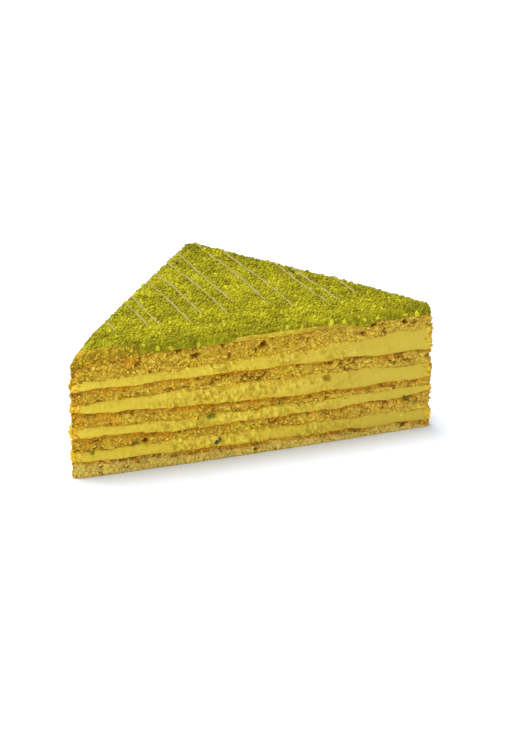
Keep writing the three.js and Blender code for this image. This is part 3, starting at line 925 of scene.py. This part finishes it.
def third_side_shade(x, y):
    """1 in the darker strip of the crust along the third side, 0 further in."""
    start, end = TOP.ring[TOP.ring[:, 0].argmax()], TOP.ring[TOP.ring[:, 1].argmax()]
    along_side = (end - start) / np.hypot(*(end - start))
    away = (start[0] - x) * along_side[1] - (start[1] - y) * along_side[0]
    return 1 - fade(away + 2.5 * value_noise(x, y, 5.0, 5.0, 1251), 6.0, 13.0)


def lip_shade(x, y):
    """1 at the crust's front edge, or half towards the right, and 0 further in."""
    near = 1 - fade(y - FRONT_Y + 0.8 * value_noise(x, y, 2.5, 2.5, 1261), 1.2, 3.6)
    return near * (1 - 0.5 * fade(x, 0.0, 35.0))


def worn_share(x, y):
    """1 where the crust is rubbed off: at the sharp tip, and in a wedge along the front edge from it."""
    noise = value_noise(x, y, 1.7, 1.7, 1231)
    at_tip = 1 - fade(from_sharp_tip(x, y) + 1.4 * noise, 4.5, 8.0)
    from_wedge = y - FRONT_Y - 5.2 + 0.27 * (x - SHARP_TIP[0])
    return np.maximum(at_tip, 1 - fade(from_wedge + 0.7 * noise, -0.6, 1.4))


def crust_under(place):
    """Height of the crust's lower edge: it hangs down over the coat, except where that shows."""
    ragged = fractal_round(place, 3.2, 1241, 3)
    thickness = face_over(TOP_COAT, place) - face_under(TOP_COAT, place)
    hang = (1 - coat_shown(place)) * (thickness + 0.2) + 0.7 * ragged - 0.25 * coat_shown(place)
    return face_over(TOP_COAT, place) - np.clip(hang, -0.3, thickness + 0.6)


def crust_rings():
    """Rings of points from the crust's underside, round its lip and in over its top to the middle."""
    place = PLACES[::2]
    edge, out = along(TOP_PLAN, place), along(OUT, place)
    under = crust_under(place)
    cover = face_over(TOP_COAT, place) + 0.02
    rings = [np.column_stack([edge - out * 4.0, cover]),
             np.column_stack([edge - out * 0.9, cover]),
             side_points(place, under, 0 * place - 0.6)]
    lip_top = top_height(*(edge - out * LIP).T)
    for k in range(LIP_RINGS):
        share = k / (LIP_RINGS - 1)
        z = under + (lip_top - under) * math.sin(share * math.pi / 2)
        rough = 0.2 * fractal(place, 0 * place + k * 0.6, 1.1, 0.8, 1302, ROUND, 3)
        tuck = LIP * share ** 3 - OVERHANG * (1 - share ** 2)
        rings.append(side_points(place, z, rough - tuck - tip_recess(place, z)))
    inner = rings[-1][:, :2]
    centre = inner.mean(0)
    steps = int(np.hypot(*(inner - centre).T).min() / RING_STEP)
    picked = inner
    for k in range(1, steps):
        share = 1 - k / steps
        crowded = share * len(place) / len(picked) < 0.55
        if crowded and len(picked) % 2 == 0 and len(picked) > FEWEST_POINTS:
            picked = picked[::2]
        plan = centre + (picked - centre) * share
        rings.append(np.column_stack([plan, top_height(plan[:, 0], plan[:, 1])]))
    return rings, centre


def add_crust():
    rings, centre = crust_rings()
    counts = [len(ring) for ring in rings]
    stacked = np.vstack(rings)
    x, y = stacked[:, 0], stacked[:, 1]
    rise, tone, worn = crust_relief(x, y)
    ring_number = np.repeat(np.arange(len(rings)), counts)
    lip_end = UNDER_RINGS + LIP_RINGS - 1
    stacked[:, 2] += np.where(ring_number >= lip_end, rise * (1 - 0.6 * worn), 0)
    lowest, highest = float(FACES[CRUST].mean()), float(top_height(*centre))
    points = np.vstack([[*centre, lowest], stacked, [*centre, highest]])
    tone = np.concatenate([[0.3], tone, [0.4]])
    worn = np.concatenate([[0], worn, [0]])
    made = make_object("pistachio_crust", points, ring_faces(counts), tone=tone, worn=worn)
    finish_piece(made, "pistachio", PISTACHIO, "topping")


add_crust()

GRANULE_SPACING = 1.15
GRANULE_ROW = GRANULE_SPACING * 0.866    # its rows are this far apart, as in a triangular grid
GRANULE_STRAY = 0.34                     # share of the spacing


def crust_granules():
    """Granules all over the crust's top, set half into it."""
    rng = np.random.default_rng(41)
    low, high = TOP_PLAN.min(0), TOP_PLAN.max(0)
    columns, rows = int((high[0] - low[0]) / GRANULE_SPACING), int((high[1] - low[1]) / GRANULE_ROW)
    column, row = np.meshgrid(np.arange(columns), np.arange(rows))
    stray_x = rng.uniform(-GRANULE_STRAY, GRANULE_STRAY, column.shape)
    stray_y = rng.uniform(-GRANULE_STRAY, GRANULE_STRAY, column.shape)
    x = (low[0] + (column + 0.5 * (row % 2) + stray_x) * GRANULE_SPACING).ravel()
    y = (low[1] + (row + stray_y) * GRANULE_ROW).ravel()
    set_back = (TIP_SET_BACK + 0.1) * (1 - fade(from_sharp_tip(x, y), 3.6, 20.0))
    keep = inside_distance(x, y) > 0.5 + set_back
    x, y = x[keep], y[keep]
    worn = worn_share(x, y)
    radii = (0.36 + 0.3 * rng.random(len(x)) ** 1.6) * (1 - 0.2 * worn)
    rise, _, _ = crust_relief(x, y)
    z = top_height(x, y) + rise * (1 - 0.6 * worn) + 0.1 * radii
    # Granules that stand higher are painted lighter, and lower ones darker: painted shade.
    tones = 0.52 + rng.normal(0, 0.16, len(x)) + 0.3 * rise + 0.3 * broad_patches(x, y)
    tone = np.clip(shaded(tones, x, y), 0.05, 1)
    return dict(centres=np.column_stack([x, y, z]), radii=radii, tone=tone, worn=0.7 * worn)


scatter("pistachio_granules", 42, "pistachio", PISTACHIO, **crust_granules())

# larger nut crumbs that hang from the crust's front edge: distance from the sharp tip, height
BEADS = [(19.5, 39.0), (28.4, 38.6), (32.5, 38.4), (41.7, 38.2), (71.0, 39.7), (76.2, 39.6), (86.2, 39.4),
         (90.9, 39.3), (98.1, 39.1), (102.6, 39.0), (112.4, 38.7), (116.5, 38.6)]
BEADS_ELSEWHERE = 26    # and so many on the other two sides
LIP_GRANULES = 1300


def lip_granules():
    """Granules on the crust's side, and a few larger ones that hang from its edge."""
    rng = np.random.default_rng(61)
    place = rng.uniform(0, ROUND, LIP_GRANULES)
    low, high = crust_under(place), face_over(TOP_COAT, place) + 1.1
    z = low + (high - low) * rng.random(LIP_GRANULES)
    radii = 0.28 + 0.3 * rng.random(LIP_GRANULES) ** 1.5
    # These granules are darker than those on top: painted shade on the crust's side.
    tones = np.clip(0.42 + rng.normal(0, 0.16, LIP_GRANULES), 0.05, 1)
    bead_x, bead_heights = np.array(BEADS).T
    elsewhere = rng.uniform(RIGHT_PLACE, ROUND, BEADS_ELSEWHERE)
    heights_elsewhere = crust_under(elsewhere) + rng.uniform(0, 0.7, BEADS_ELSEWHERE)
    bead_z = np.concatenate([bead_heights, heights_elsewhere])
    place = np.concatenate([place, front_place(bead_x), elsewhere])
    z = np.concatenate([z, bead_z])
    radii = np.concatenate([radii, rng.uniform(0.85, 1.1, len(bead_z))])
    tones = np.concatenate([tones, rng.uniform(0.75, 0.95, len(bead_z))])
    centres = side_points(place, z, OVERHANG + 0.05 - 0.4 * radii - tip_recess(place, z))
    return dict(centres=centres, radii=radii, tone=tones, worn=0.85 * worn_share(*centres.T[:2]))


scatter("pistachio_edge_granules", 62, "pistachio", PISTACHIO, **lip_granules())

# nut pieces in the front face: distance from the sharp tip, height, radius, tone and darkness
SPECKS = [(46.1, 14.8, 0.9, 0.45, 0.0), (45.0, 14.4, 0.8, 0.4, 0.0), (7.8, 7.6, 0.8, 0.5, 0.0),
          (21.7, 15.6, 0.5, 0.4, 0.0), (47.7, 5.7, 0.9, 0.2, 0.85), (48.5, 6.6, 0.65, 0.2, 0.6),
          (111.8, 11.3, 0.95, 0.2, 0.6), (62.0, 24.5, 0.4, 0.5, 0.0), (34.0, 30.0, 0.4, 0.5, 0.0),
          (90.8, 14.0, 0.45, 0.35, 0.2), (22.0, 10.4, 0.5, 0.5, 0.0), (71.0, 12.0, 0.45, 0.8, 0.0)]
SPECKS_ELSEWHERE = 30   # and so many on the other two sides
# dark pieces on the crust: plan distances from the sharp tip
TOP_SPECKS = [(97.5, 46.8), (92.4, 47.7), (60.0, 71.0)]


def specks():
    """The nut pieces in the sides and on the crust."""
    rng = np.random.default_rng(71)
    x, z, radius, tone, dark = np.array(SPECKS).T
    front = side_points(front_place(x), z, 0.1 + 0 * z)
    count, top_count = SPECKS_ELSEWHERE, len(TOP_SPECKS)
    place, high = rng.uniform(RIGHT_PLACE, ROUND, count), rng.uniform(2, 35, count)
    elsewhere = side_points(place, high, 0.1 + 0 * high)
    plan = np.array(TOP_SPECKS) + SHARP_TIP
    top = np.column_stack([plan, top_height(*plan.T) + 0.4])
    radius = np.concatenate([radius, rng.uniform(0.3, 0.6, count), np.full(top_count, 0.6)])
    tone = np.concatenate([tone, rng.uniform(0.3, 0.8, count), np.full(top_count, 0.2)])
    dark = np.concatenate([dark, 0.6 * (rng.random(count) < 0.2), np.full(top_count, 0.75)])
    centres = np.vstack([front, elsewhere, top])
    return dict(centres=centres, radii=radius, tone=tone, dark=dark, green=0.75 * (tone < 0.55))


scatter("pistachio_specks", 72, "pistachio", PISTACHIO, roughness=0.3, **specks())

# ---- drizzle ----

# distance of each line from the sharp tip, and how far from the front face it fades out
DRIZZLE_LINES = [(20, 12), (31, 14), (35, 12), (44.7, 11), (50.4, 18), (58.2, 16), (63.7, 25), (74.2, 22),
                 (80.1, 14), (90.9, 12), (94.8, 12), (103, 20)]
DRIZZLE_SIDES = 8
DRIZZLE_HALF_WIDTH = 0.62
DRIZZLE_FLATNESS = 0.55   # its height as a share of its width
DRIZZLE_STEP = 0.4
FADE_LENGTH = 3


def drizzle_strand(x0, end, phase):
    """Rings of points along one line of drizzle, from the far edge to where it fades out."""
    x = SHARP_TIP[0] + x0
    fade_y = SHARP_TIP[1] + end
    y = np.arange(fade_y - FADE_LENGTH, TOP_PLAN[:, 1].max(), DRIZZLE_STEP)
    y = y[inside_distance(np.full(len(y), x), y) > 0.3][::-1]
    seed = int(x0 * 10)
    xs = x + 0.35 * np.sin(phase + y / 9) + 0.12 * value_noise(y, 0 * y, 2.5, 1, seed)
    rise, _, _ = crust_relief(xs, y)
    rise = np.convolve(np.pad(rise, 2, "edge"), np.ones(5) / 5, "valid")
    strength = fade(y, fade_y - FADE_LENGTH, fade_y + FADE_LENGTH)
    uneven = 0.85 + 0.3 * value_noise(y, 0 * y, 1.6, 1, seed + 1)
    width = DRIZZLE_HALF_WIDTH * uneven * (0.35 + 0.65 * strength)
    sunk = 0.2 * value_noise(y, 0 * y, 3.0, 1, seed + 2)
    z = top_height(xs, y) + 0.22 + 0.8 * rise + sunk - 0.5 * (1 - strength)
    angle = np.arange(DRIZZLE_SIDES) / DRIZZLE_SIDES * 2 * math.pi
    return np.stack([xs[:, None] + width[:, None] * np.cos(angle),
                     np.broadcast_to(y[:, None], (len(y), DRIZZLE_SIDES)),
                     z[:, None] + DRIZZLE_FLATNESS * width[:, None] * np.sin(angle)], -1)


def drizzle_mesh():
    """Points and faces of all the lines, each closed at both ends."""
    rng = np.random.default_rng(77)
    points, quads, triangles = [], [], []
    start = 0
    for x0, end in DRIZZLE_LINES:
        strand = drizzle_strand(x0, end, rng.uniform(0, 2 * math.pi))
        points += [strand[:1].mean(1), strand.reshape(-1, 3), strand[-1:].mean(1)]
        strand_quads, strand_triangles = ring_faces([DRIZZLE_SIDES] * len(strand))
        quads.append(start + strand_quads)
        triangles.append(start + strand_triangles)
        start += 2 + strand.shape[0] * strand.shape[1]
    return np.vstack(points), [np.vstack(quads), np.vstack(triangles)]


points, faces = drizzle_mesh()
finish_piece(make_object("drizzle_lines", points, faces), "cream", DRIZZLE)

# ---- floor, light, camera ----

FLOOR_REACH, FLOOR_LINES = 6000, 9       # half its length, and grid lines each way
FLOOR_DROP = 0.02                        # just under the slice
WORLD_COLOUR, WORLD_STRENGTH = (0.95, 0.97, 1), 0.45
# azimuth and elevation in degrees, brightness on a level white floor, and width in degrees
KEY_LIGHT = (215, 72, 0.90, 38)
FILL_LIGHT = (-50, 24, 0.14, 30)
CAMERA_PLACE = (-0.210887, -0.584093, 0.2426)    # in metres, solved from the slice's corners in the photo
CAMERA_TURN, CAMERA_RISE = -21.39, 20.3          # where it looks from, in degrees
CAMERA_LENS, CAMERA_REACH = 98.8, 50             # millimetres, metres


def direction(azimuth, elevation):
    """Towards an azimuth and elevation in degrees. Azimuth 0 is the front face's side, and 90 the right."""
    turn, rise = math.radians(azimuth), math.radians(elevation)
    return Vector((math.sin(turn) * math.cos(rise), -math.cos(turn) * math.cos(rise), math.sin(rise)))


def add_floor():
    grid = np.linspace(-FLOOR_REACH, FLOOR_REACH, FLOOR_LINES)
    gx, gy = np.meshgrid(grid, grid)
    points = np.column_stack([gx.ravel(), gy.ravel(), np.full(gx.size, -FLOOR_DROP)])
    index = np.arange(FLOOR_LINES ** 2).reshape(FLOOR_LINES, FLOOR_LINES)
    quads = np.stack([index[:-1, :-1], index[:-1, 1:], index[1:, 1:], index[1:, :-1]], -1).reshape(-1, 4)
    floor = make_object("table", points, [quads])
    floor.data.materials.append(floor_material())


def add_sun(name, azimuth, elevation, floor_light, softness):
    """A wide soft sun that gives a level white floor the brightness `floor_light`."""
    data = bpy.data.lights.new(name, "SUN")
    data.energy = math.pi * floor_light / math.sin(math.radians(elevation))
    data.angle = math.radians(softness)
    made = bpy.data.objects.new(name, data)
    made.rotation_euler = direction(azimuth, elevation).to_track_quat("Z", "Y").to_euler()
    bpy.context.scene.collection.objects.link(made)


def add_world():
    world = bpy.data.worlds.new("studio")
    world.use_nodes = True
    background = world.node_tree.nodes["Background"]
    background.inputs["Color"].default_value = (*WORLD_COLOUR, 1)
    background.inputs["Strength"].default_value = WORLD_STRENGTH
    bpy.context.scene.world = world


def add_camera():
    data = bpy.data.cameras.new("camera")
    data.lens = CAMERA_LENS
    data.clip_end = CAMERA_REACH
    camera = bpy.data.objects.new("camera", data)
    camera.location = CAMERA_PLACE
    camera.rotation_euler = direction(CAMERA_TURN, CAMERA_RISE).to_track_quat("Z", "Y").to_euler()
    bpy.context.scene.collection.objects.link(camera)
    bpy.context.scene.camera = camera


add_floor()
add_world()
add_sun("key", *KEY_LIGHT)
add_sun("fill", *FILL_LIGHT)
add_camera()
bpy.context.scene.view_settings.view_transform = "Standard"
